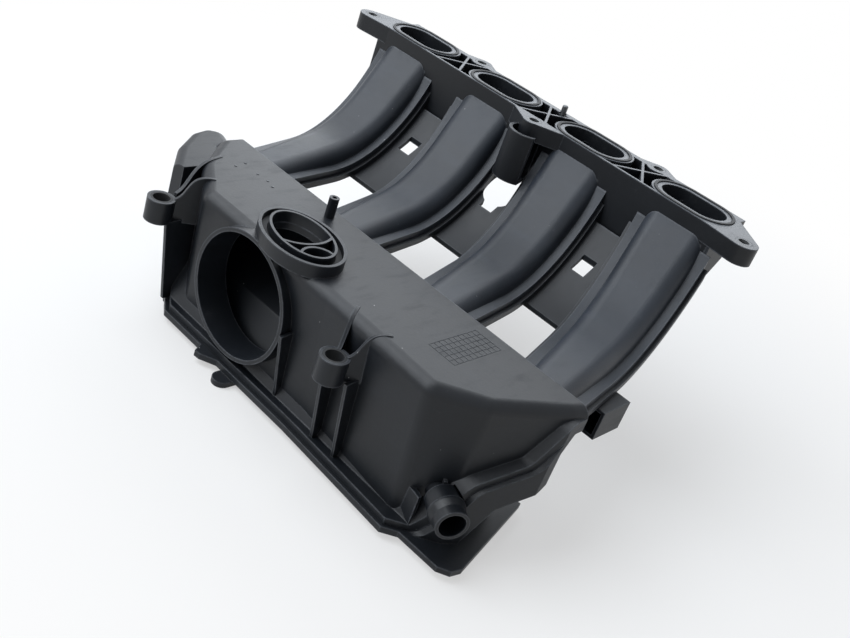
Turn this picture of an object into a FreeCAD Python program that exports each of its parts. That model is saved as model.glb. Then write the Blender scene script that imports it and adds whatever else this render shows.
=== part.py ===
"""Plastic intake manifold for a four-cylinder engine, in millimetres.

X runs along the port row, Y from the plenum to the cylinder head, Z out of the head face.
The origin is the middle of the port row, on the head face. The ports point up (+Z).
"""
import math
import os
from FreeCAD import Vector
import Part

# port row and head flange
port_count = 4
port_pitch = 82.0
port_length = 46.0
port_width = 27.0
ring_wall = 3.2
groove_width = 2.2
groove_wall = 1.4
flange_half_width = 20.0
flange_end_margin = 28.0
flange_thickness = 12.0
flange_floor = 3.0
pocket_rib = 1.8
skirt_bottom = -42.0
skirt_thickness = 3.0
neck_left = 27.0
neck_right = 30.0

# head bolts and their steel sleeves
ear_x = 168.0
ear_y = -14.0
ear_radius = 9.5
rear_bolt_x = 82.0
rear_bolt_y = 20.0
front_bolt_x = 7.0
front_bolt_y = -25.5
bolt_boss_radius = 8.0

# open well under the front bolt
well_x = 10.0
well_y = -32.5
well_radius = 13.0
well_wall = 2.2
well_top_z = -6.0
well_bottom_z = -40.0
well_clearance = 0.3

sleeve_outer_radius = 5.2
sleeve_bore_radius = 3.5
sleeve_fit = 0.05

# port seals and the locating pin
seal_depth = 4.0
seal_proud = 0.7
seal_side_gap = 0.15
pin_x = 1.0
pin_y = 15.5
pin_radius = 2.0
pin_height = 6.0
pin_chamfer = 0.6
pin_sunk = 8.0
pin_shank_radius = 1.6
pin_shank_rise = 0.8
pin_relief = 0.9

# weld surface between upper and lower shells, seen from the side
rail_centre_y = -109.0
rail_low_z = -75.9
rail_radius = 103.7
rail_centre_z = rail_low_z + rail_radius
rail_slope = 0.045
wall_y = -20.0
joint_y = -164.6
ramp_bends = ((joint_y - 63.4, -150.5, 5.0), (joint_y - 46.9, -116.0, 14.0), (joint_y - 21.4, -100.0, 12.0),
              (joint_y - 8.9, -73.8, 6.0))
rim_z = ramp_bends[0][1]
weld_flange = 4.0
lower_flange_extra = 2.5
weld_gap = 0.05

# runners, leaning sideways on their way from the plenum to the head
shell_wall = 3.0
rail_width = 6.0
runner_left = -21.5
runner_right = 34.3
runner_left_lean = 0.296
runner_right_lean = 0.196
lean_start_y = -25.0
crown_height = 14.0
crown_round = 9.5
trough_depth = 16.0
trough_round = 11.0

# web panels between the runners
web_drop = 4.0
web_thickness = 3.0
web_top_y = -23.0
web_bottom_y = -90.0
web_hole = 11.0
web_hole_y = -44.0
web_hole_shift = 3.0

# plenum: flat top, walls leaning in towards the weld rim
top_z = -64.0
top_outline = [(-106.5, joint_y), (-106.5, joint_y - 11.4), (-81.0, joint_y - 42.4),
               (-50.0, joint_y - 62.9), (60.0, joint_y - 62.9),
               (107.0, joint_y - 64.9), (138.5, joint_y - 66.4), (160.6, joint_y - 47.4),
               (182.0, joint_y - 6.4), (184.3, joint_y)]
edge_round = 6.5
corner_round = 9.0
front_lean = 7.0
side_lean = 4.0
rim_width = 8.5
rim_right_x = 191.0
tray_depth = 14.5
floor_drop = 7.5
tray_floor_z = rim_z - floor_drop

# throttle stub
throttle_x = -1.0
throttle_z = -103.5
throttle_radius = 39.7
throttle_bore = 37.0
throttle_mouth_y = joint_y - 73.4
throttle_inner_y = joint_y - 52.4

# oval collar on the plenum top
collar_x = 15.0
collar_y = joint_y - 52.4
collar_half_length = 32.0
collar_half_width = 23.0
collar_turn = -12.0
collar_wall = 2.0
collar_top_z = -57.0
collar_floor_z = -62.5
collar_floor = 3.0
insert_half_length = 26.0
insert_half_width = 17.0
insert_wall = 1.6
insert_rise = 1.5
divider_arcs = ((-12.6, 0.0, 23.7), (24.0, -2.5, 10.0))
collar_seal_height = 2.2

# small vacuum tap on the plenum top
tap_x = -9.0
tap_y = joint_y - 9.4
tap_radius = 3.1
tap_bore = 1.5
tap_height = 13.0

# the two support bosses on the plenum front
boss_right = (87.0, joint_y - 82.4)
boss_left = (-77.0, joint_y - 78.6)
boss_top_z = -81.0
boss_height = 14.5
boss_radius = 8.4
bush_radius = 6.6
bush_bore = 5.2
bush_fit = 0.05
arm_thickness = 2.2
rib_spread = 9.0
rib_reach_y = joint_y - 77.9
rib_root = 25.0
rib_foot_y = joint_y - 68.8
arm_tips_right = ((74.0, joint_y - 60.4), (101.7, joint_y - 60.9))
arm_tips_left = ((-88.5, joint_y - 31.4), (-62.5, joint_y - 53.9))

# hose nipple on the right bevel
nipple_z = -126.5
nipple_end = (179.0, joint_y - 66.4)
nipple_angle = -30.0
nipple_root_radius = 7.0
nipple_radius = 9.2
nipple_bead = 10.2
nipple_bore = 7.2
nipple_root_bore = 5.0
nipple_length = 34.0
nipple_barrel_length = 21.0
nipple_socket_radius = 9.6
nipple_fit = 0.05
nipple_sunk = 36.0
nipple_fin_top_z = -111.0
nipple_fin_thickness = 2.0
nipple_wall = [(138.0, joint_y - 58.4), (139.0, joint_y - 62.9), (155.0, joint_y - 66.4),
               (155.0, joint_y - 64.0)]
nipple_wall_top_z = -128.0

# base plate, side chamber, clip pocket
plate_thickness = 3.5
plate_outline = [(110.0, joint_y - 61.4), (140.0, joint_y - 71.4), (182.0, joint_y - 69.9),
                 (188.5, joint_y - 65.4), (190.0, joint_y - 58.4),
                 (172.0, joint_y + 12.6), (110.0, joint_y + 12.6)]
stay_thickness = 3.0
stay_xs = (118.0, 142.0, 164.0)
stay_front_y = joint_y - 59.4
stay_back_y = joint_y - 10.4
tab_outline = [(-24.0, joint_y - 67.4), (-17.0, joint_y - 79.9), (-13.0, joint_y - 79.4), (0.0, joint_y - 71.4)]
lug_centre = (7.0, joint_y - 76.4)
lug_radius = 6.0
chamber_outline = [(-95.0, joint_y - 25.4), (-95.0, joint_y - 52.4), (-105.0, joint_y - 52.4),
                   (-124.0, joint_y - 36.4), (-140.0, joint_y - 15.4),
                   (-144.0, joint_y - 1.4), (-137.0, joint_y + 8.6), (-110.0, joint_y)]
chamber_top_z = -73.0
chamber_round = 6.0
chamber_keel = ((-80.0, -113.0), (-160.0, -87.0))
clip_right = 186.0
clip_front = -134.0
clip_length = 26.0
clip_height = 18.5
clip_wall = 2.0

port_xs = [(index - (port_count - 1) / 2) * port_pitch for index in range(port_count)]
gap_xs = [(left + right) / 2 for left, right in zip(port_xs, port_xs[1:])]
flange_end = port_xs[-1] + flange_end_margin


def planar(points, plane="xy", level=0.0):
    """Return the face of a closed polygon lying in one of the two working planes."""
    if plane == "xy":
        corners = [Vector(x, y, level) for x, y in points]
    else:
        corners = [Vector(level, y, z) for y, z in points]
    return Part.Face(Part.makePolygon(corners + corners[:1]))


def prism(points, low, high):
    """Polygon in plan, raised from low to high."""
    return planar(points, "xy", low).extrude(Vector(0, 0, high - low))


def side_prism(points, left, right):
    """Polygon seen from the side (Y, Z), stretched along X."""
    return planar(points, "yz", left).extrude(Vector(right - left, 0, 0))


def box(x0, x1, y0, y1, z0, z1):
    return Part.makeBox(x1 - x0, y1 - y0, z1 - z0, Vector(x0, y0, z0))


def post(x, y, low, high, radius):
    return Part.makeCylinder(radius, high - low, Vector(x, y, low))


def oval(x, length, width, low, high):
    """Straight-sided slot shape on the port row, raised from low to high."""
    reach = (length - width) / 2
    body = box(x - reach, x + reach, -width / 2, width / 2, low, high)
    for side in (-reach, reach):
        body = body.fuse(post(x + side, 0, low, high, width / 2))
    return body.removeSplitter()


def ellipse(half_length, half_width, low, high):
    """Elliptical column at the collar's place, turned as the collar is."""
    curve = Part.Ellipse(Vector(0, 0, 0), half_length, half_width)
    face = Part.Face(Part.Wire(curve.toShape()))
    face.rotate(Vector(0, 0, 0), Vector(0, 0, 1), collar_turn)
    face.translate(Vector(collar_x, collar_y, low))
    return face.extrude(Vector(0, 0, high - low))


def offset_outline(points, distances):
    """Move each edge of a closed outline outward by its own distance and find the new corners."""
    area = sum(a[0] * b[1] - b[0] * a[1] for a, b in zip(points, points[1:] + points[:1]))
    side = 1 if area > 0 else -1
    moved = []
    for (ax, ay), (bx, by), distance in zip(points, points[1:] + points[:1], distances):
        length = math.hypot(bx - ax, by - ay)
        nx, ny = side * (by - ay) / length, -side * (bx - ax) / length
        moved.append(((ax + nx * distance, ay + ny * distance), (bx - ax, by - ay)))
    corners = []
    for index, (here, direction) in enumerate(moved):
        before, last = moved[index - 1]
        cross = last[0] * direction[1] - last[1] * direction[0]
        along = ((here[0] - before[0]) * direction[1] - (here[1] - before[1]) * direction[0]) / cross
        corners.append((before[0] + last[0] * along, before[1] + last[1] * along))
    return corners


def join(shapes):
    body = shapes[0]
    for shape in shapes[1:]:
        body = body.fuse(shape)
    return body.removeSplitter()


def save(name, shape):
    shape.exportStep("parts/" + name + ".step")
    print(name, len(shape.Solids), "solids", round(shape.Volume / 1000, 2), "cm3", shape.isValid())


# ---------------------------------------------------------------- curves seen from the side

def rail_curve(lift):
    """Points and arc of the runner line at a height above the weld surface, plenum to head."""
    radius = rail_radius - lift
    start_angle = -math.pi / 2 - rail_slope
    end_angle = -math.atan2(math.sqrt(max(radius ** 2 - (wall_y + 6 - rail_centre_y) ** 2, 1.0)),
                            wall_y + 6 - rail_centre_y)

    def on_arc(angle):
        return (rail_centre_y + radius * math.cos(angle), rail_centre_z + radius * math.sin(angle))

    start = on_arc(start_angle)
    far = (joint_y - 20, start[1] + (start[0] - joint_y + 20) * math.tan(rail_slope))
    return far, start, on_arc((start_angle + end_angle) / 2), on_arc(end_angle)


def crown_curve(drop):
    """Upper line of a runner cover, lowered by drop: from the plenum top, round, up to the head wall."""
    radius = rail_radius - crown_height + drop
    py, pz = joint_y - rail_centre_y, top_z - drop - rail_centre_z
    reach = math.hypot(py, pz)
    start_angle = math.atan2(pz, py) + math.acos(radius / reach)
    end_angle = -math.pi / 4
    start = (rail_centre_y + radius * math.cos(start_angle), rail_centre_z + radius * math.sin(start_angle))
    middle_angle = (start_angle + end_angle) / 2
    middle = (rail_centre_y + radius * math.cos(middle_angle), rail_centre_z + radius * math.sin(middle_angle))
    end = (rail_centre_y + radius * math.cos(end_angle), rail_centre_z + radius * math.sin(end_angle))
    far = (joint_y - 20, top_z - drop - 20 * math.tan(start_angle + math.pi / 2))
    top = (wall_y + 4, end[1] + wall_y + 4 - end[0])
    return far, start, middle, end, top


def side_face(curve, closing):
    """Face in the Y-Z plane: a line, an arc, an optional line, then the closing corners."""
    points = [Vector(0, y, z) for y, z in curve]
    edges = [Part.LineSegment(points[0], points[1]).toShape(),
             Part.Arc(points[1], points[2], points[3]).toShape()]
    chain = points[3:] + [Vector(0, y, z) for y, z in closing] + [points[0]]
    edges += [Part.LineSegment(a, b).toShape() for a, b in zip(chain, chain[1:])]
    return Part.Face(Part.Wire(edges))


def slab(curve, width=600.0, depth=150.0):
    """Everything under a side curve down to a depth, across the whole manifold."""
    last = curve[-1]
    face = side_face(curve, [(last[0], -depth), (curve[0][0], -depth)])
    face.translate(Vector(-width / 2, 0, 0))
    return face.extrude(Vector(width, 0, 0))


def weld_slab(lift):
    """Everything under the plenum's weld surface raised by lift: flat rim, bent ramp, short shelf."""
    line = [Vector(0, -300, rim_z)] + [Vector(0, y, z) for y, z, bend in ramp_bends]
    line.append(Vector(0, joint_y + 30, ramp_bends[-1][1]))
    directions = [(b - a).normalize() for a, b in zip(line, line[1:])]
    normals = [Vector(0, -d.z, d.y) for d in directions]
    corners = []
    for index, (y, z, bend) in enumerate(ramp_bends):
        half = normals[index] + normals[index + 1]
        corners.append(Vector(0, y, z) + half * (2 * lift / half.dot(half)))
    points, edges = [line[0] + normals[0] * lift], []
    for index, (corner, (y, z, bend)) in enumerate(zip(corners, ramp_bends)):
        before, after = directions[index], directions[index + 1]
        turn = before.getAngle(after)
        upward = before.cross(after).x > 0
        radius = bend + lift * (-1 if upward else 1)
        radius = max(radius, 0.5)
        back = radius * math.tan(turn / 2)
        start, end = corner - before * back, corner + after * back
        middle = corner + (after - before).normalize() * (radius / math.cos(turn / 2) - radius)
        edges += [Part.LineSegment(points[-1], start).toShape(), Part.Arc(start, middle, end).toShape()]
        points.append(end)
    last = line[-1] + normals[-1] * lift
    rest = [points[-1], last, Vector(0, last.y, -200), Vector(0, points[0].y, -200), points[0]]
    edges += [Part.LineSegment(a, b).toShape() for a, b in zip(rest, rest[1:])]
    face = Part.Face(Part.Wire(edges))
    face.translate(Vector(-300, 0, 0))
    return face.extrude(Vector(600, 0, 0))


def between(shape, front, back):
    """Keep what lies between two heights on the Y axis."""
    return shape.common(box(-300, 300, front, back, -200, 60))


def runner_plan(x, inset):
    """Column over one runner seen from above, its leaning sides moved in by inset."""
    rows = (joint_y - 2, wall_y + 2)
    left = [(x + runner_left - runner_left_lean * (y - lean_start_y) + inset, y) for y in rows]
    right = [(x + runner_right - runner_right_lean * (y - lean_start_y) - inset, y) for y in rows]
    return prism([left[0], right[0], right[1], left[1]], -200, 60)


def round_long_edges(block, radius, keep):
    """Round the edges that run along the runner and whose middle satisfies keep."""
    chosen = []
    for edge in block.Edges:
        ends = [vertex.Point for vertex in edge.Vertexes]
        middle = edge.valueAt((edge.FirstParameter + edge.LastParameter) / 2)
        if abs(ends[0].y - ends[-1].y) > 1 and keep(middle):
            chosen.append(edge)
    return block.makeFillet(radius, chosen)


weld_line = slab(rail_curve(0))
crown_side = slab(crown_curve(0))
crown_bore_side = slab(crown_curve(shell_wall))
trough_side = slab(rail_curve(-trough_depth))
trough_bore_side = slab(rail_curve(shell_wall - trough_depth))
deep_line = slab(rail_curve(-8))
high_line = slab(rail_curve(8))


def crown_block(x, inset, upper, radius):
    block = between(upper.cut(deep_line).common(runner_plan(x, inset)), joint_y - 1, wall_y + 1)
    return round_long_edges(block, radius, lambda p: not weld_line.isInside(p, 0.01, True))


def trough_block(x, inset, lower, radius):
    block = between(high_line.cut(lower).common(runner_plan(x, inset)), joint_y - 1, wall_y + 1)
    return round_long_edges(block, radius, lambda p: weld_line.isInside(p, 0.01, True))


def runner_cover(x):
    """Upper half of one runner: crown with a weld strip along both sides."""
    crown = crown_block(x, rail_width, crown_side, crown_round).cut(weld_line)
    strip = slab(rail_curve(weld_flange)).cut(weld_line).common(runner_plan(x, 0))
    bore = crown_block(x, rail_width + shell_wall, crown_bore_side, crown_round - shell_wall)
    return between(crown.fuse(strip).cut(bore), joint_y, wall_y).removeSplitter()


def wall_level(curve, y):
    """Height at which a side curve passes a place on Y."""
    solid = slab(curve)
    line = Part.LineSegment(Vector(0, y, -140), Vector(0, y, 50)).toShape()
    return max(vertex.Z for vertex in line.common(solid).Vertexes)


neck_top_z = wall_level(crown_curve(shell_wall), wall_y)
neck_low_z = wall_level(rail_curve(-trough_depth), wall_y)
neck_bore_low_z = wall_level(rail_curve(shell_wall - trough_depth), wall_y)


def flange_skirt():
    """Front wall that hangs down from the head flange, where the runners arrive."""
    return box(-flange_end, flange_end, wall_y, wall_y + skirt_thickness, skirt_bottom, 0)


def neck(x):
    """Closed passage that turns a runner up into its port."""
    outline = [(wall_y, -flange_thickness), (wall_y, neck_low_z),
               (flange_half_width - 2.5, -flange_thickness)]
    return side_prism(outline, x - neck_left, x + neck_right).cut(flange_skirt())


def neck_bore(x):
    slope = (neck_low_z + flange_thickness) / (wall_y - flange_half_width + 2.5)
    half = port_width / 2
    outline = [(wall_y - 1, neck_top_z - 1), (wall_y, neck_top_z), (-half, neck_top_z + 4), (-half, -8),
               (half, -8), (half, neck_bore_low_z + slope * (half - wall_y)), (wall_y, neck_bore_low_z),
               (wall_y - 1, neck_bore_low_z - slope)]
    left = x + runner_left - runner_left_lean * (wall_y - lean_start_y) + rail_width + shell_wall
    right = x + runner_right - runner_right_lean * (wall_y - lean_start_y) - rail_width - shell_wall
    return side_prism(outline, left, right)


def runner_trough(x):
    """Lower half of one runner: trough with a slightly wider weld strip, and the neck behind it."""
    under_weld = slab(rail_curve(-weld_gap))
    trough = trough_block(x, rail_width, trough_side, trough_round).common(under_weld)
    strip = under_weld.cut(slab(rail_curve(-weld_flange))).common(runner_plan(x, -lower_flange_extra))
    bore = trough_block(x, rail_width + shell_wall, trough_bore_side, trough_round - shell_wall)
    half = between(trough.fuse(strip).cut(bore), joint_y, wall_y)
    return half.fuse(neck(x).cut(neck_bore(x))).removeSplitter()


def web_panel(left_x, right_x):
    """Curved panel that ties two neighbouring runners together, with a square hole."""
    band = slab(rail_curve(-web_drop)).cut(slab(rail_curve(-web_drop - web_thickness)))
    rows = (web_bottom_y, web_top_y)
    inset = rail_width
    left = [(left_x + runner_right - runner_right_lean * (y - lean_start_y) - inset, y) for y in rows]
    right = [(right_x + runner_left - runner_left_lean * (y - lean_start_y) + inset, y) for y in rows]
    panel = band.common(prism([left[0], right[0], right[1], left[1]], -200, 60))
    middle = (left[0][0] + right[0][0] + left[1][0] + right[1][0]) / 4 - web_hole_shift
    hole = box(middle - web_hole / 2, middle + web_hole / 2, web_hole_y - web_hole / 2,
               web_hole_y + web_hole / 2, -120, 0)
    well_room = post(well_x, well_y, -200, well_top_z, well_radius + well_clearance)
    return panel.cut(hole).cut(well_room)


# ---------------------------------------------------------------- head flange

head_bolts = [(-ear_x, ear_y), (ear_x, ear_y), (-rear_bolt_x, rear_bolt_y), (rear_bolt_x, rear_bolt_y),
              (front_bolt_x, front_bolt_y)]


def tangent_point(point, centre, radius, side):
    """Where a line from a point touches a circle, on the chosen side (+1 or -1)."""
    dx, dy = point[0] - centre[0], point[1] - centre[1]
    angle = math.atan2(dy, dx) + side * math.acos(radius / math.hypot(dx, dy))
    return (centre[0] + radius * math.cos(angle), centre[1] + radius * math.sin(angle))


def ear(side):
    """Bolt ear at one end of the flange, blended to the flange with straight tangents."""
    end = side * (port_xs[-1] + flange_end_margin - 8)
    centre = (side * ear_x, ear_y)
    front, back = (end, -flange_half_width), (end, flange_half_width)
    outline = [front, tangent_point(front, centre, ear_radius, side),
               tangent_point(back, centre, ear_radius, -side), back]
    return prism(outline, -flange_thickness, 0).fuse(post(*centre, -flange_thickness, 0, ear_radius))


def lug(x, y, spread):
    """Bolt boss on a long edge of the flange, widened where it joins."""
    edge = math.copysign(flange_half_width - 1, y)
    outline = [(x - spread, edge), (x - bolt_boss_radius * 0.7, y + math.copysign(bolt_boss_radius * 0.7, y)),
               (x + bolt_boss_radius * 0.7, y + math.copysign(bolt_boss_radius * 0.7, y)), (x + spread, edge)]
    return prism(outline, -flange_thickness, 0).fuse(post(x, y, -flange_thickness, 0, bolt_boss_radius))


def flange_pocket(x):
    """Core-outs between two ports: a wide cell cut up by a cross of thin ribs."""
    cell = box(x - 26, x + 26, -flange_half_width + pocket_rib, flange_half_width - 5,
               flange_floor - flange_thickness, 1)
    reach = port_length + 2 * (ring_wall + groove_width + groove_wall)
    height = port_width + 2 * (ring_wall + groove_width + groove_wall)
    for port_x in port_xs:
        cell = cell.cut(oval(port_x, reach, height, -flange_thickness - 1, 2))
    for angle in (58, -58):
        rib = Part.makeBox(80, pocket_rib, 30, Vector(-40, -pocket_rib / 2, -20))
        rib.rotate(Vector(0, 0, 0), Vector(0, 0, 1), angle)
        rib.translate(Vector(x, 0, 0))
        cell = cell.cut(rib)
    for bolt_x, bolt_y in head_bolts:
        cell = cell.cut(post(bolt_x, bolt_y, -flange_thickness - 1, 2, bolt_boss_radius))
    return cell


def head_flange():
    """Port flange with seal grooves, core-outs, bolt bosses and its front wall."""
    plate = box(-flange_end, flange_end, -flange_half_width, flange_half_width, -flange_thickness, 0)
    skirt = flange_skirt()
    body = join([plate, skirt, ear(-1), ear(1), lug(-rear_bolt_x, rear_bolt_y, 16),
                 lug(rear_bolt_x, rear_bolt_y, 16), lug(front_bolt_x, front_bolt_y, 24)])
    well = post(well_x, well_y, well_bottom_z, well_top_z, well_radius)
    well = well.cut(runner_plan(port_xs[2], -lower_flange_extra - well_clearance))
    body = body.fuse(well.cut(box(-60, 90, wall_y + 1, 40, -60, 10)))
    body = body.cut(post(well_x, well_y, well_bottom_z + well_wall, well_top_z + 1, well_radius - well_wall))
    body = body.fuse(lug(front_bolt_x, front_bolt_y, 24)).fuse(skirt)
    for x in port_xs:
        inner = (port_length + 2 * ring_wall, port_width + 2 * ring_wall)
        outer = (inner[0] + 2 * groove_width, inner[1] + 2 * groove_width)
        groove = oval(x, *outer, -seal_depth, 1).cut(oval(x, *inner, -seal_depth - 1, 2))
        body = body.cut(groove).cut(oval(x, port_length, port_width, -flange_thickness - 3, 1))
        body = body.cut(neck_bore(x))
    for x in gap_xs:
        body = body.cut(flange_pocket(x))
    for x, y in head_bolts:
        body = body.cut(post(x, y, -flange_thickness - 40, 1, sleeve_outer_radius + sleeve_fit))
    body = body.cut(post(pin_x, pin_y, -pin_sunk, 1, pin_shank_radius))
    body = body.cut(post(pin_x, pin_y, -pin_relief, 1, pin_radius + pin_relief))
    return body.removeSplitter()


# ---------------------------------------------------------------- plenum shells

edge_kinds = ["end", "side", "side", "front", "front", "front", "side", "side", "side", "rear"]
top_reach = {"rear": 0.0, "end": edge_round, "side": edge_round, "front": edge_round}
foot_reach = {"rear": 0.0, "end": edge_round - side_lean, "side": edge_round - side_lean,
              "front": edge_round - front_lean}
top_corners = offset_outline(top_outline, [top_reach[kind] for kind in edge_kinds])
foot_corners = offset_outline(top_outline, [foot_reach[kind] for kind in edge_kinds])


rim_limit = box(-300, rim_right_x, -300, 0, tray_floor_z, 0)


def grown(corners, distance, rear=0.0):
    """Outline moved outward on every edge but the rear one, which moves by its own amount."""
    return offset_outline(corners, [rear if kind == "rear" else distance for kind in edge_kinds])


def tapered(low_corners, high_corners, low, high):
    """Closed body between two outlines with the same corners."""
    wires = [Part.makePolygon([Vector(x, y, level) for x, y in corners + corners[:1]])
             for corners, level in ((low_corners, low), (high_corners, high))]
    return Part.makeLoft(wires, True, True)


def soften(body, high, corner, edge):
    """Round the upright corners except the two rear ones, then the top edges except the rear one."""
    def upright(e):
        ends = [vertex.Point for vertex in e.Vertexes]
        return abs(ends[0].z - ends[-1].z) > 20 and min(end.y for end in ends) < joint_y - 1
    body = body.makeFillet(corner, [e for e in body.Edges if upright(e)])

    def upper(e):
        ends = [vertex.Point for vertex in e.Vertexes]
        return all(abs(p.z - high) < 0.01 for p in ends) and not all(p.y > joint_y - 0.1 for p in ends)
    return body.makeFillet(edge, [e for e in body.Edges if upper(e)])


def plenum_bore():
    """Air space of the plenum above the weld surface."""
    inner_foot = grown(foot_corners, -shell_wall, -shell_wall)
    inner_top = grown(top_corners, -shell_wall, -shell_wall)
    return tapered(inner_foot, inner_top, rim_z - 20, top_z - shell_wall)


def throttle_cylinder(radius, front, back):
    return Part.makeCylinder(radius, back - front, Vector(throttle_x, front, throttle_z), Vector(0, 1, 0))


def arm(boss, tip):
    """Upright web from a boss to the plenum top; its upper edge swings up in an S."""
    along = Vector(tip[0] - boss[0], tip[1] - boss[1], 0)
    across = along.cross(Vector(0, 0, 1)).normalize() * (arm_thickness / 2)
    start = Vector(boss[0], boss[1], 0) - across
    low = boss_top_z - boss_height
    rise = top_z + 0.4 - boss_top_z
    bend = [(0.25, 0.0), (0.38, 0.2), (0.5, 0.6), (0.62, 0.86), (0.8, 0.985), (1.0, 1.0)]
    top_edge = Part.BSplineCurve()
    top_edge.interpolate([start + along * reach + Vector(0, 0, boss_top_z + rise * lift) for reach, lift in bend])
    first, last = top_edge.StartPoint, top_edge.EndPoint
    foot, toe = Vector(first.x, first.y, low), Vector(last.x, last.y, low)
    edges = [top_edge.toShape()] + [Part.LineSegment(a, b).toShape()
                                    for a, b in ((last, toe), (toe, foot), (foot, first))]
    return Part.Face(Part.Wire(edges)).extrude(across * 2)


def front_rib(x, top, reach, foot_reach_y):
    """Thin upright rib on the plenum's front wall, deepest at its top."""
    root = ramp_bends[0][0] + rib_root
    outline = [(root, rim_z + 1), (foot_reach_y, rim_z + 1), (reach, top), (root, top + 6)]
    return side_prism(outline, x - arm_thickness / 2, x + arm_thickness / 2)


def nipple_line():
    """Where the hose nipple leaves the right bevel, and its direction."""
    direction = Vector(math.cos(math.radians(nipple_angle)), math.sin(math.radians(nipple_angle)), 0)
    end = Vector(nipple_end[0], nipple_end[1], nipple_z)
    return end - direction * nipple_length, direction


def nipple_passage():
    """Round hole through both shells that the nipple's tube sits in."""
    root, direction = nipple_line()
    narrow = Part.makeCylinder(nipple_root_radius + nipple_fit, nipple_length + nipple_sunk,
                               root - direction * nipple_sunk, direction)
    wide = Part.makeCylinder(nipple_bead + nipple_fit, nipple_length,
                             root + direction * (nipple_length - nipple_barrel_length - nipple_fit), direction)
    return narrow.fuse(wide)


def nipple_fin():
    """Thin triangular fin that stiffens the nipple's root from above."""
    root, direction = nipple_line()
    across = Vector(0, 0, 1).cross(direction) * (nipple_fin_thickness / 2)
    tip = root + direction * (nipple_length - nipple_barrel_length - 1)
    heel = root - direction * 6
    corners = [Vector(heel.x, heel.y, nipple_z), Vector(tip.x, tip.y, nipple_z),
               Vector(tip.x, tip.y, nipple_z + nipple_radius), Vector(heel.x, heel.y, nipple_fin_top_z)]
    face = Part.Face(Part.makePolygon([corner - across for corner in corners + corners[:1]]))
    return face.extrude(across * 2)


def plenum_upper_shell():
    """Top of the plenum: walls, throttle stub, collar tower, bosses with arms, ribs and weld rim."""
    shell = soften(tapered(foot_corners, top_corners, rim_z, top_z), top_z, corner_round, edge_round)
    rim = prism(grown(foot_corners, rim_width), rim_z - 1, top_z - 4).common(weld_slab(weld_flange))
    rim = rim.common(rim_limit)
    tower = ellipse(collar_half_length, collar_half_width, collar_floor_z - collar_floor, collar_top_z)
    root, direction = nipple_line()
    pad = Part.makeCylinder(nipple_socket_radius, 18, root - direction * 14, direction)
    stub = throttle_cylinder(throttle_radius, throttle_mouth_y, throttle_inner_y)
    body = join([shell, rim, tower, pad])
    for boss, tips in ((boss_right, arm_tips_right), (boss_left, arm_tips_left)):
        body = body.fuse(post(*boss, boss_top_z - boss_height, boss_top_z, boss_radius))
        for tip in tips:
            body = body.fuse(arm(boss, tip))
    under_boss = boss_top_z - boss_height + 1
    for x in (boss_right[0] - rib_spread, boss_right[0] + rib_spread):
        body = body.fuse(front_rib(x, under_boss, rib_reach_y, rib_foot_y))
    body = body.fuse(front_rib(boss_left[0] + rib_spread - 2, under_boss, rib_reach_y, rib_foot_y))
    body = body.fuse(front_rib(throttle_x + throttle_radius + 1.5, throttle_z, throttle_mouth_y - 1,
                               ramp_bends[0][0] - 2))
    body = body.fuse(nipple_fin()).fuse(prism(nipple_wall, rim_z, nipple_wall_top_z))
    bore = plenum_bore().cut(weld_slab(-1))
    body = body.cut(weld_slab(0)).cut(bore).fuse(stub)
    body = body.cut(throttle_cylinder(throttle_bore, throttle_mouth_y - 1, throttle_inner_y + 1))
    channel = (collar_half_length - collar_wall, collar_half_width - collar_wall)
    body = body.cut(ellipse(*channel, collar_floor_z, collar_top_z + 1))
    body = body.cut(ellipse(insert_half_length - insert_wall, insert_half_width - insert_wall,
                            top_z - 40, collar_top_z))
    for boss in (boss_right, boss_left):
        body = body.cut(post(*boss, boss_top_z - boss_height - 1, boss_top_z + 1, bush_radius + bush_fit))
    body = body.cut(nipple_passage())
    body = body.cut(post(tap_x, tap_y, top_z - shell_wall - 1, top_z + 1, tap_radius - 1))
    for x in port_xs:
        body = body.cut(crown_block(x, rail_width + shell_wall, crown_bore_side,
                                    crown_round - shell_wall).translate(Vector(0, -shell_wall - 0.5, 0)))
    return body.removeSplitter()


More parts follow.
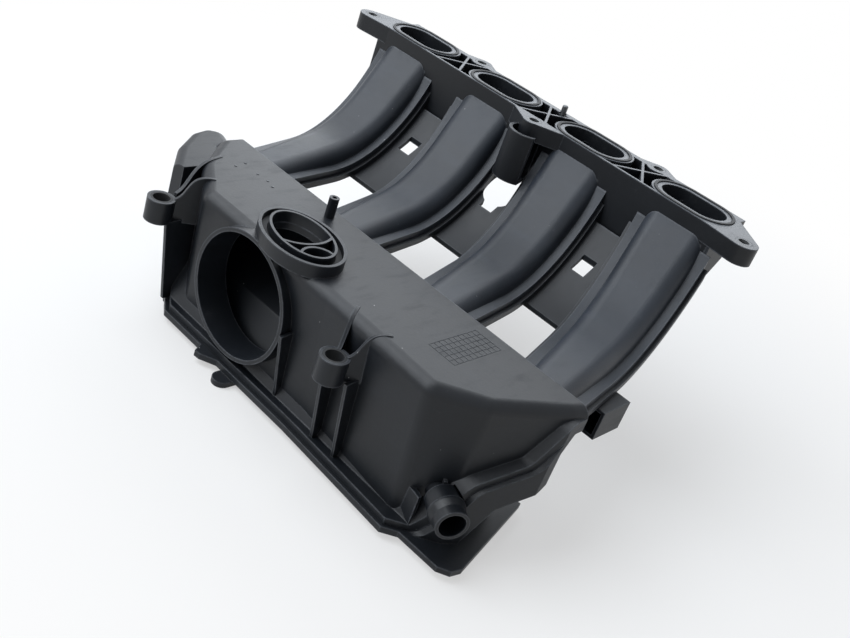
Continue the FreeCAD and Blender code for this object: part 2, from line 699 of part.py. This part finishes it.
def plenum_lower_shell():
    """Shallow tray under the plenum: it follows the weld surface and carries the base plate."""
    under = weld_slab(-weld_gap)
    floor_block = box(-300, 300, -300, 0, tray_floor_z, 0)
    walls = prism(foot_corners, tray_floor_z, top_z).common(under).cut(weld_slab(-tray_depth))
    inside = prism(grown(foot_corners, -shell_wall, -shell_wall), tray_floor_z + shell_wall, top_z)
    inside = inside.cut(weld_slab(shell_wall - tray_depth))
    lip = prism(grown(foot_corners, rim_width + lower_flange_extra), tray_floor_z, top_z).common(under)
    hollow = prism(grown(foot_corners, rim_width + lower_flange_extra - shell_wall), tray_floor_z - 1, top_z)
    apron = lip.cut(hollow).cut(weld_slab(-tray_depth))
    apron = apron.common(box(-300, 300, ramp_bends[0][0] + 2, 0, tray_floor_z, 0))
    lip = lip.cut(weld_slab(-weld_flange)).fuse(apron).common(floor_block).common(rim_limit)
    plate = prism(plate_outline, rim_z - plate_thickness, rim_z - weld_gap)
    tab = prism(tab_outline, rim_z - weld_flange, rim_z - weld_gap)
    lug = post(*lug_centre, tray_floor_z, rim_z - weld_flange, lug_radius)
    lug = lug.fuse(box(lug_centre[0] - lug_radius, lug_centre[0] + lug_radius, lug_centre[1], joint_y - 63.4,
                       tray_floor_z, rim_z - weld_flange))
    stays = [box(x, x + stay_thickness, stay_front_y, stay_back_y, rim_z - plate_thickness, top_z).common(
        weld_slab(1 - tray_depth)) for x in stay_xs]
    body = join([walls, lip, plate, tab, lug] + stays).cut(inside).common(floor_block)
    body = body.cut(nipple_passage())
    body = body.cut(throttle_cylinder(throttle_radius + weld_gap, throttle_mouth_y, throttle_inner_y))
    for x in port_xs:
        bore = trough_block(x, rail_width + shell_wall, trough_bore_side, trough_round - shell_wall)
        body = body.cut(bore.translate(Vector(0, -shell_wall - 0.5, 0)))
    return body.removeSplitter()


def side_chamber(upper_shell, lower_shell):
    """Rounded closed chamber on the left end of the plenum, standing on the ramp's line."""
    bottom = weld_slab(-tray_depth)
    (x0, z0), (x1, z1) = chamber_keel
    keel = Part.Face(Part.makePolygon([Vector(x0, -300, z0), Vector(x1, -300, z1), Vector(x1, -300, -200),
                                       Vector(x0, -300, -200), Vector(x0, -300, z0)]))
    bottom = bottom.fuse(keel.extrude(Vector(0, 300, 0)))
    block = prism(chamber_outline, tray_floor_z, chamber_top_z)
    block = block.makeFillet(chamber_round + 2, [e for e in block.Edges
                                                 if abs(e.Vertexes[0].Z - e.Vertexes[-1].Z) > 20
                                                 and e.Vertexes[0].X < -115])
    block = block.makeFillet(chamber_round, [e for e in block.Edges
                                             if all(abs(v.Z - chamber_top_z) < 0.01 for v in e.Vertexes)
                                             and min(v.X for v in e.Vertexes) < -115])
    return block.cut(bottom).cut(upper_shell).cut(lower_shell).removeSplitter()


def port_seal(x):
    """Moulded rubber ring in its groove, standing a little proud of the head face."""
    inner = (port_length + 2 * (ring_wall + seal_side_gap), port_width + 2 * (ring_wall + seal_side_gap))
    width = groove_width - 2 * seal_side_gap
    ring = oval(x, inner[0] + 2 * width, inner[1] + 2 * width, -seal_depth, seal_proud)
    return ring.cut(oval(x, *inner, -seal_depth - 1, seal_proud + 1))


def sleeves():
    """Steel compression sleeves in the five head-bolt bosses."""
    rings = [post(x, y, -flange_thickness, 0, sleeve_outer_radius).cut(
        post(x, y, -flange_thickness - 1, 1, sleeve_bore_radius)) for x, y in head_bolts]
    return Part.makeCompound(rings)


def boss_bushes():
    """Rubber bushes in the two support bosses."""
    low = boss_top_z - boss_height
    rings = [post(x, y, low, boss_top_z, bush_radius).cut(post(x, y, low - 1, boss_top_z + 1, bush_bore))
             for x, y in (boss_right, boss_left)]
    return Part.makeCompound(rings)


def collar_insert():
    """Thin divider ring inside the collar: two curved partitions leave three openings."""
    low, high = collar_floor_z, collar_top_z + insert_rise
    inner = (insert_half_length - insert_wall, insert_half_width - insert_wall)
    opening = ellipse(*inner, low, high)
    parts = [ellipse(insert_half_length, insert_half_width, low, high).cut(opening)]
    for x, y, radius in divider_arcs:
        wall = post(x, y, low, high, radius + insert_wall / 2).cut(
            post(x, y, low, high, radius - insert_wall / 2))
        wall.rotate(Vector(0, 0, 0), Vector(0, 0, 1), collar_turn)
        wall.translate(Vector(collar_x, collar_y, 0))
        parts.append(wall.common(opening))
    return join(parts)


def collar_seal():
    """Rubber ring lying in the channel around the divider ring."""
    outer = (collar_half_length - collar_wall - seal_side_gap, collar_half_width - collar_wall - seal_side_gap)
    inner = (insert_half_length + seal_side_gap, insert_half_width + seal_side_gap)
    return ellipse(*outer, collar_floor_z, collar_floor_z + collar_seal_height).cut(
        ellipse(*inner, collar_floor_z - 1, collar_floor_z + collar_seal_height + 1))


def vacuum_tap():
    body = post(tap_x, tap_y, top_z, top_z + tap_height, tap_radius)
    body = body.fuse(post(tap_x, tap_y, top_z - shell_wall, top_z, tap_radius - 1))
    return body.cut(post(tap_x, tap_y, top_z - 20, top_z + tap_height + 1, tap_bore))


def hose_nipple():
    """Hose connection on the right bevel: slim root, wider barrel with a bead, stepped bore."""
    root, direction = nipple_line()
    barrel_start = root + direction * (nipple_length - nipple_barrel_length)
    tube = Part.makeCylinder(nipple_root_radius, nipple_length, root - direction * 4, direction)
    barrel = Part.makeCylinder(nipple_radius, nipple_barrel_length, barrel_start, direction)
    band = Part.makeCylinder(nipple_bead, 1.5, barrel_start + direction * 9.5, direction)
    bead = Part.makeCone(nipple_bead, nipple_radius, 4, barrel_start + direction * 11, direction)
    body = join([tube, barrel, band, bead])
    bore = Part.makeCylinder(nipple_bore, nipple_barrel_length, barrel_start + direction * 1.5, direction)
    return body.cut(bore).cut(Part.makeCylinder(nipple_root_bore, nipple_length, root - direction * 8, direction))


def locating_pin():
    """Dowel pin: a thinner shank pressed into the flange and a chamfered head above it."""
    head = post(pin_x, pin_y, pin_shank_rise, pin_height, pin_radius)
    head = head.makeChamfer(pin_chamfer, [e for e in head.Edges if abs(e.Vertexes[0].Z - pin_height) < 0.01
                                          and len(e.Vertexes) == 1])
    return head.fuse(post(pin_x, pin_y, -pin_sunk, pin_shank_rise, pin_shank_radius))


def clip_pocket():
    """Box under the last runner's outer rail, open at its front end, that takes a cable clip."""
    top = wall_level(rail_curve(-weld_flange), clip_front + clip_length) - weld_gap
    left, back, low = port_xs[-1] + runner_right, clip_front + clip_length, top - clip_height
    outer = box(left, clip_right, clip_front, back, low, top)
    hollow = box(left - 1, clip_right - clip_wall, clip_front - 1, back - clip_wall,
                 low + clip_wall, top - clip_wall)
    side = runner_plan(port_xs[-1], rail_width)
    inner_wall = outer.common(runner_plan(port_xs[-1], rail_width - clip_wall))
    return outer.cut(hollow).fuse(inner_wall).cut(side).removeSplitter()


os.makedirs("parts", exist_ok=True)
save("head_flange", head_flange())
for number, x in enumerate(port_xs, 1):
    save(f"runner_cover_{number}", runner_cover(x))
    save(f"runner_trough_{number}", runner_trough(x))
    save(f"port_seal_{number}", port_seal(x))
for number, (left_x, right_x) in enumerate(zip(port_xs, port_xs[1:]), 1):
    save(f"web_panel_{number}", web_panel(left_x, right_x))
upper = plenum_upper_shell()
lower = plenum_lower_shell()
save("plenum_upper_shell", upper)
save("plenum_lower_shell", lower)
save("side_chamber", side_chamber(upper, lower))
save("head_bolt_sleeves", sleeves())
save("boss_bushes", boss_bushes())
save("collar_insert", collar_insert())
save("collar_seal", collar_seal())
save("vacuum_tap", vacuum_tap())
save("hose_nipple", hose_nipple())
save("locating_pin", locating_pin())
save("clip_pocket", clip_pocket())
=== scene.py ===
import bmesh
import bpy
from mathutils import Matrix, Vector


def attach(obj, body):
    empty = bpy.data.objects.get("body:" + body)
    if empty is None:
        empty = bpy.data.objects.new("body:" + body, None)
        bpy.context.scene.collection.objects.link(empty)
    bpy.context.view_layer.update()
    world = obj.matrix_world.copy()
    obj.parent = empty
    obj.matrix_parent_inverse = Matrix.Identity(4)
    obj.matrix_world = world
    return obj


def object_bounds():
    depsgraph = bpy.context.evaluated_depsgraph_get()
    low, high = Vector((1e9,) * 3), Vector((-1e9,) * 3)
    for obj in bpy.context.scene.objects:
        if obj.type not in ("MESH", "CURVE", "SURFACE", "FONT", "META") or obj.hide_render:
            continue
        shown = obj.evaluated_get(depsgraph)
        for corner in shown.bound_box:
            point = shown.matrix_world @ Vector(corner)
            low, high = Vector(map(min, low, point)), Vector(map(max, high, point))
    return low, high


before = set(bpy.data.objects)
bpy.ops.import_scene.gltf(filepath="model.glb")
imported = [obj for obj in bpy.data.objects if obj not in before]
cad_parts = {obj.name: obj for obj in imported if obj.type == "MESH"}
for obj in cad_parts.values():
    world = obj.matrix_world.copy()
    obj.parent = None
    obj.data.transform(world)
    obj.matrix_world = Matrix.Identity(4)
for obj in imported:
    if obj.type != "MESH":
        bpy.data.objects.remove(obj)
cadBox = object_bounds()
print("frame loaded:", len(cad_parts), "nodes")


# ---- shader helpers

class Wire:  # a shader socket that takes part in sums
    def __init__(self, recipe, socket):
        self.recipe = recipe
        self.socket = socket

    def combine(self, operation, first, second):
        return self.recipe.node("ShaderNodeMath", {"operation": operation}, {0: first, 1: second})

    def __add__(self, other):
        return self.combine("ADD", self, other)

    def __radd__(self, other):
        return self.combine("ADD", other, self)

    def __sub__(self, other):
        return self.combine("SUBTRACT", self, other)

    def __rsub__(self, other):
        return self.combine("SUBTRACT", other, self)

    def __mul__(self, other):
        return self.combine("MULTIPLY", self, other)


class Recipe:  # one material and its nodes
    def __init__(self, name):
        self.material = bpy.data.materials.new(name)
        self.material.use_nodes = True
        self.tree = self.material.node_tree
        self.shader = self.tree.nodes["Principled BSDF"]
        self.place = self.node("ShaderNodeTexCoord", out="Object")

    def node(self, kind, settings=None, sockets=None, out=0):
        made = self.tree.nodes.new(kind)
        for key, value in (settings or {}).items():
            setattr(made, key, value)
        for key, value in (sockets or {}).items():
            self.plug(made.inputs[key], value)
        return Wire(self, made.outputs[out])

    def plug(self, target, value):
        if isinstance(value, Wire):
            self.tree.links.new(value.socket, target)
        else:
            target.default_value = value

    def finish(self, **sockets):
        for key, value in sockets.items():
            self.plug(self.shader.inputs[key.replace("_", " ")], value)
        return self.material

    def cloud(self, scale, detail=3.0, roughness=0.55, stretch=(1, 1, 1)):  # soft noise, 0 to 1
        spread = self.node("ShaderNodeMapping", {}, {"Vector": self.place, "Scale": stretch})
        return self.node("ShaderNodeTexNoise", {}, {"Vector": spread, "Scale": scale, "Detail": detail,
                                                    "Roughness": roughness})

    def between(self, value, low, high):  # 0 under low, 1 over high
        return self.node("ShaderNodeMapRange", {"interpolation_type": "SMOOTHSTEP"},
                         {"Value": value, "From Min": low, "From Max": high})

    def mix(self, factor, first, second):
        return self.node("ShaderNodeMix", {"data_type": "RGBA"}, {0: factor, 6: first, 7: second}, out=2)

    def specks(self, scale, size, share):  # sparse round dots, a share of the cells holds one
        spots = {"Vector": self.place, "Scale": scale, "Randomness": 1.0}
        near = self.node("ShaderNodeTexVoronoi", {"feature": "F1"}, spots, out="Distance")
        pick = self.node("ShaderNodeTexVoronoi", {"feature": "F1"}, spots, out="Color")
        chance = self.node("ShaderNodeSeparateColor", {}, {0: pick}, out="Red")
        return (1 - self.between(near, size * 0.6, size)) * self.between(chance, 1 - share, 1 - share + 0.01)

    def roundedNormal(self, radius):
        return self.node("ShaderNodeBevel", {"samples": 6}, {"Radius": radius})

    def edges(self, rounded, low, high):  # 1 where the rounded normal leaves the face's own
        face = self.node("ShaderNodeNewGeometry", out="Normal")
        agree = self.node("ShaderNodeVectorMath", {"operation": "DOT_PRODUCT"},
                          {0: rounded, 1: face}, out="Value")
        return self.between(1 - agree, low, high)

    def openness(self, distance):  # 0 deep in a corner, 1 in the open
        return self.node("ShaderNodeAmbientOcclusion", {"samples": 6},
                         {"Distance": distance}, out="AO")


def grey(tone, blue=1.0):  # black nylon leans to slate blue, less so in its lighter marks: wear, dust, and the painted highlights and sheen
    return (tone * (1 - 0.18 * blue), tone, tone * (1 + 0.32 * blue), 1)


# ---- materials

plastics = {
    "runnerNylon": {"tone": 0.024, "wearAndGlint": 0.095, "roughness": 0.43, "dust": 1.0, "mouthPaling": 0},
    "upperNylon": {"tone": 0.009, "wearAndGlint": 0.095, "roughness": 0.40, "dust": 0.5, "mouthPaling": 0},
    "lowerNylon": {"tone": 0.009, "wearAndGlint": 0.080, "roughness": 0.44, "dust": 0.7, "mouthPaling": 0.6},
    "flangeNylon": {"tone": 0.007, "wearAndGlint": 0.115, "roughness": 0.42, "dust": 0.4, "mouthPaling": 0},
    "insertNylon": {"tone": 0.009, "wearAndGlint": 0.080, "roughness": 0.36, "dust": 0.2, "mouthPaling": 0},
}
nylonAge = {
    "ior": 1.38, "cornerRadius": 0.0004, "wearGlintRadius": 0.0014, "cornerReach": 0.006,
    "scuffTone": 0.075, "mouthTone": 0.060, "sealWearSheenTone": 0.085, "speckTone": 0.34,
    "mouthFrom": -0.038, "mouthTo": -0.004, "sealFrom": -0.0005, "sealTo": -0.0002,  # heights
    "reliefStrength": 0.16, "reliefDepth": 0.0004,
}


def mouldedPlastic(name, look):
    recipe = Recipe(name)
    age = nylonAge
    cloudy = recipe.cloud(14, 4)
    flow = recipe.cloud(60, 3, 0.6, (0.35, 1.0, 1.0))  # glass fibre drawn out along the mould flow
    grain = recipe.cloud(2600, 2, 0.6)
    scuffs = recipe.cloud(240, 5, 0.7, (1.0, 0.22, 1.0))
    rounded = recipe.roundedNormal(age["cornerRadius"])
    openArea = recipe.openness(age["cornerReach"])
    edgeWearAndGlint = recipe.edges(recipe.roundedNormal(age["wearGlintRadius"]), 0.006, 0.06)
    edgeWearAndGlint = edgeWearAndGlint * recipe.between(openArea, 0.55, 0.85) * recipe.between(recipe.cloud(150, 4, 0.7), 0.22, 0.58)
    dots = recipe.specks(170, 0.07, 0.10) * recipe.between(cloudy, 0.38, 0.6)
    tone = recipe.mix(recipe.between(cloudy, 0.3, 0.7), grey(look["tone"] * 0.8), grey(look["tone"] * 1.25))
    tone = recipe.mix(recipe.between(flow, 0.52, 0.78) * 0.35, tone, grey(look["tone"] * 1.8))
    scuffed = recipe.between(scuffs, 0.60, 0.72) * 0.22 * look["dust"]
    tone = recipe.mix(scuffed, tone, grey(age["scuffTone"], 0.3))
    # painted shade: corners and recesses are darkened from the ambient occlusion mask, deepest where least open
    tone = recipe.mix((1 - recipe.between(openArea, 0.25, 0.75)) * 0.7, tone, grey(look["tone"] * 0.45))
    level = recipe.node("ShaderNodeSeparateXYZ", {}, {0: recipe.place}, out="Z")
    mouth = recipe.between(level, age["mouthFrom"], age["mouthTo"]) * recipe.between(scuffs, 0.30, 0.62)
    tone = recipe.mix(mouth * look["mouthPaling"], tone, grey(age["mouthTone"], 0.6))  # port mouths paler towards the head face, in patches
    sealWearAndSheen = recipe.between(level, age["sealFrom"], age["sealTo"]) * recipe.between(cloudy, 0.15, 0.55)
    tone = recipe.mix(sealWearAndSheen * 0.8, tone, grey(age["sealWearSheenTone"], 0.5))  # head face lighter: painted sheen on this top face, together with wear from use
    # painted highlight: convex edges are lighter, standing in for the glints along their roundings, together
    # with real edge wear
    tone = recipe.mix(edgeWearAndGlint * 0.85, tone, grey(look["wearAndGlint"], 0.4))
    tone = recipe.mix(dots, tone, grey(age["speckTone"], 0.0))
    rough = look["roughness"] + cloudy * 0.10 + recipe.between(scuffs, 0.5, 0.75) * 0.10 + edgeWearAndGlint * 0.12 - 0.05
    relief = grain * 0.5 + recipe.cloud(420, 3) * 0.6 + dots * 1.2
    bumped = recipe.node("ShaderNodeBump", {}, {"Strength": age["reliefStrength"],
                                                "Distance": age["reliefDepth"], "Height": relief,
                                                "Normal": rounded})
    recipe.shader.inputs["IOR"].default_value = age["ior"]
    return recipe.finish(Base_Color=tone, Roughness=rough, Normal=bumped)


def sealRubber():
    recipe = Recipe("sealRubber")
    bloom = recipe.cloud(90, 4)
    rounded = recipe.roundedNormal(0.0004)
    tone = recipe.mix(recipe.between(bloom, 0.45, 0.7), grey(0.006), grey(0.016, 0.2))
    bumped = recipe.node("ShaderNodeBump", {}, {"Strength": 0.2, "Distance": 0.0003,
                                                "Height": recipe.cloud(1500, 2), "Normal": rounded})
    return recipe.finish(Base_Color=tone, Roughness=0.62 + bloom * 0.15, Normal=bumped)


def dullSteel():
    recipe = Recipe("dullSteel")
    mottled = recipe.cloud(420, 4)
    turned = recipe.cloud(900, 2, 0.5, (1, 1, 0.08))
    rounded = recipe.roundedNormal(0.0003)
    tone = recipe.mix(recipe.between(mottled, 0.35, 0.7), (0.085, 0.09, 0.095, 1), (0.16, 0.165, 0.17, 1))
    bumped = recipe.node("ShaderNodeBump", {}, {"Strength": 0.15, "Distance": 0.0002, "Height": turned,
                                                "Normal": rounded})
    return recipe.finish(Base_Color=tone, Metallic=0.85, Roughness=0.45 + mottled * 0.2, Normal=bumped)


finishes = {name: mouldedPlastic(name, look) for name, look in plastics.items()}
finishes["rubber"] = sealRubber()
finishes["steel"] = dullSteel()
print("materials made:", len(finishes))


def finishOf(node):
    if node.startswith("port_seal") or node in ("collar_seal", "boss_bushes"):
        return "rubber"
    if node in ("head_bolt_sleeves", "locating_pin"):
        return "steel"
    if node in ("collar_insert", "vacuum_tap", "hose_nipple"):
        return "insertNylon"
    if node == "head_flange":
        return "flangeNylon"
    if node.startswith("runner_cover"):
        return "runnerNylon"
    if node == "plenum_upper_shell":
        return "upperNylon"
    return "lowerNylon"


for node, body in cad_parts.items():
    for slot in body.material_slots:
        slot.material = finishes[finishOf(node)]
print("finishes on the frame's nodes")


# ---- raised marks on the plenum top

def makeObject(name, mesh):
    made = bpy.data.objects.new(name, mesh)
    bpy.context.scene.collection.objects.link(made)
    return made


def meshFrom(sheet, name):
    mesh = bpy.data.meshes.new(name)
    sheet.to_mesh(mesh)
    sheet.free()
    return mesh


def bar(sheet, middle, size):
    place = Matrix.Translation(middle) @ Matrix.Diagonal((*size, 1))
    bmesh.ops.create_cube(sheet, size=1, matrix=place)


def seatOnTop(piece):
    piece.data.materials.append(finishes["upperNylon"])
    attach(piece, "root")


plenumTop = -0.064  # height of the plenum's flat top
mouldGrid = {"left": 0.1142, "front": -0.2110, "cells": (5, 10), "cell": 0.0038,
             "line": 0.00028, "rise": 0.00014, "sunk": 0.0002, "step": 0.00002}


def raiseGrid():
    look = mouldGrid
    across, along = (count * look["cell"] for count in look["cells"])
    height = look["rise"] + look["sunk"]
    level = plenumTop + look["rise"] - height / 2
    sheet = bmesh.new()
    for index in range(look["cells"][0] + 1):
        middle = (look["left"] + index * look["cell"], look["front"] + along / 2, level)
        bar(sheet, middle, (look["line"], along + look["line"], height))
    for index in range(look["cells"][1] + 1):
        middle = (look["left"] + across / 2, look["front"] + index * look["cell"], level - look["step"])
        bar(sheet, middle, (across + look["line"], look["line"], height))
    seatOnTop(makeObject("mouldGrid", meshFrom(sheet, "mouldGrid")))


ejectorMarks = {"radius": 0.0009, "rise": 0.00025, "sunk": 0.0002, "edge": 0.0001,
                "places": ((-0.078, -0.185), (-0.076, -0.194), (-0.064, -0.186), (-0.055, -0.185),
                           (-0.048, -0.187))}


def raiseMarks():
    look = ejectorMarks
    height = look["rise"] + look["sunk"]
    sheet = bmesh.new()
    for x, y in look["places"]:
        place = Matrix.Translation((x, y, plenumTop + look["rise"] - height / 2))
        bmesh.ops.create_cone(sheet, cap_ends=True, segments=28, radius1=look["radius"],
                              radius2=look["radius"], depth=height, matrix=place)
    brim = [edge for edge in sheet.edges if all(corner.co.z > plenumTop for corner in edge.verts)]
    bmesh.ops.bevel(sheet, geom=brim, offset=look["edge"], affect="EDGES", segments=2, profile=0.5, material=-1)
    seatOnTop(makeObject("ejectorMarks", meshFrom(sheet, "ejectorMarks")))


raiseGrid()
raiseMarks()
print("raised marks on the plenum top")


# ---- stage, light and camera

stage = {"floorSize": 12.0, "floorTone": 0.80, "nearLift": 0.45, "liftFrom": 0.20, "liftTo": 0.65,
         "roomStrength": 0.18, "floorGap": 0.0002, "lampTint": (0.95, 1.0, 1.05)}
lamps = {
    "backSoftbox": {"size": 1.4, "power": 14.0, "side": (-0.46, 0.76, 0.45), "distance": 1.6},
    "topSoftbox": {"size": 1.4, "power": 19.0, "side": (-0.46, -0.10, 0.86), "distance": 1.6},
    "frontSoftbox": {"size": 1.3, "power": 16.0, "side": (-0.50, -0.66, 0.58), "distance": 1.6},
}


def paleFloor():  # lifted towards white where it is seen, so the object's shadow stays pale
    recipe = Recipe("paleFloor")
    tone = stage["floorTone"]
    recipe.finish(Base_Color=(tone, tone, tone, 1), Roughness=0.9)
    recipe.shader.inputs["Specular IOR Level"].default_value = 0.1
    seen = sum((recipe.node("ShaderNodeLightPath", out=ray)
                for ray in ("Is Camera Ray", "Is Glossy Ray", "Is Transmission Ray")), 0.0)
    away = recipe.node("ShaderNodeVectorMath", {"operation": "LENGTH"}, {0: recipe.place}, out="Value")
    # painted shade: the lift is smaller near the object, so the floor is darker around and under it, like a
    # soft shadow
    lift = recipe.between(away, stage["liftFrom"], stage["liftTo"])
    lift = lift * (1 - stage["nearLift"]) + stage["nearLift"]
    glow = recipe.node("ShaderNodeEmission", {}, {"Color": (1, 1, 1, 1), "Strength": 1.0})
    surface = recipe.tree.nodes["Principled BSDF"].outputs["BSDF"]
    blend = recipe.node("ShaderNodeMixShader", {}, {0: seen * lift, 1: Wire(recipe, surface), 2: glow})
    recipe.tree.links.new(blend.socket, recipe.tree.nodes["Material Output"].inputs["Surface"])
    return recipe.material


def layFloor():
    sheet = bmesh.new()
    bmesh.ops.create_grid(sheet, x_segments=1, y_segments=1, size=stage["floorSize"] / 2)
    bmesh.ops.translate(sheet, verts=sheet.verts, vec=(0, 0, cadBox[0][2] - stage["floorGap"]))
    floor = makeObject("studioFloor", meshFrom(sheet, "studioFloor"))
    floor.data.materials.append(paleFloor())


def hangLamp(name, lampLook):
    middle = (Vector(cadBox[0]) + Vector(cadBox[1])) / 2
    lamp = bpy.data.lights.new(name, "AREA")
    lamp.shape, lamp.size, lamp.energy = "SQUARE", lampLook["size"], lampLook["power"]
    lamp.color = stage["lampTint"]
    holder = bpy.data.objects.new(name, lamp)
    bpy.context.scene.collection.objects.link(holder)
    towards = Vector(lampLook["side"]).normalized()
    holder.location = middle + towards * lampLook["distance"]
    holder.rotation_euler = towards.to_track_quat("Z", "Y").to_euler()
    holder.visible_camera = False


def lightRoom():
    world = bpy.data.worlds.new("paleRoom")
    bpy.context.scene.world = world
    world.use_nodes = True
    tree = world.node_tree
    sky = tree.nodes["Background"]
    sky.inputs["Color"].default_value = (0.95, 0.97, 1.0, 1)
    path = tree.nodes.new("ShaderNodeLightPath")
    total = path.outputs["Is Camera Ray"]
    for ray in ("Is Glossy Ray", "Is Transmission Ray"):
        step = tree.nodes.new("ShaderNodeMath")
        tree.links.new(total, step.inputs[0])
        tree.links.new(path.outputs[ray], step.inputs[1])
        total = step.outputs[0]
    seen = tree.nodes.new("ShaderNodeMapRange")
    seen.inputs["To Min"].default_value = stage["roomStrength"]
    seen.inputs["To Max"].default_value = 1.0
    tree.links.new(total, seen.inputs["Value"])
    tree.links.new(seen.outputs["Result"], sky.inputs["Strength"])


cameraView = {"right": (0.6801, 0.6664, 0.3056), "up": (-0.5455, 0.1816, 0.8182),
              "ahead": (-0.4897, 0.7232, -0.487), "from": (0.3666, -0.5951, 0.2053),
              "lens": 44.05, "sensor": 36, "nearest": 0.01}


def placeCamera():
    view = cameraView
    camera = bpy.data.cameras.new("productCamera")
    camera.lens, camera.sensor_width, camera.clip_start = view["lens"], view["sensor"], view["nearest"]
    holder = bpy.data.objects.new("productCamera", camera)
    bpy.context.scene.collection.objects.link(holder)
    turn = Matrix((view["right"], view["up"], -Vector(view["ahead"]))).transposed()
    holder.matrix_world = Matrix.Translation(view["from"]) @ turn.to_4x4()
    bpy.context.scene.camera = holder


layFloor()
for name, lampLook in lamps.items():
    hangLamp(name, lampLook)
lightRoom()
placeCamera()
bpy.context.scene.view_settings.view_transform = "Standard"
print("stage, light and camera set")
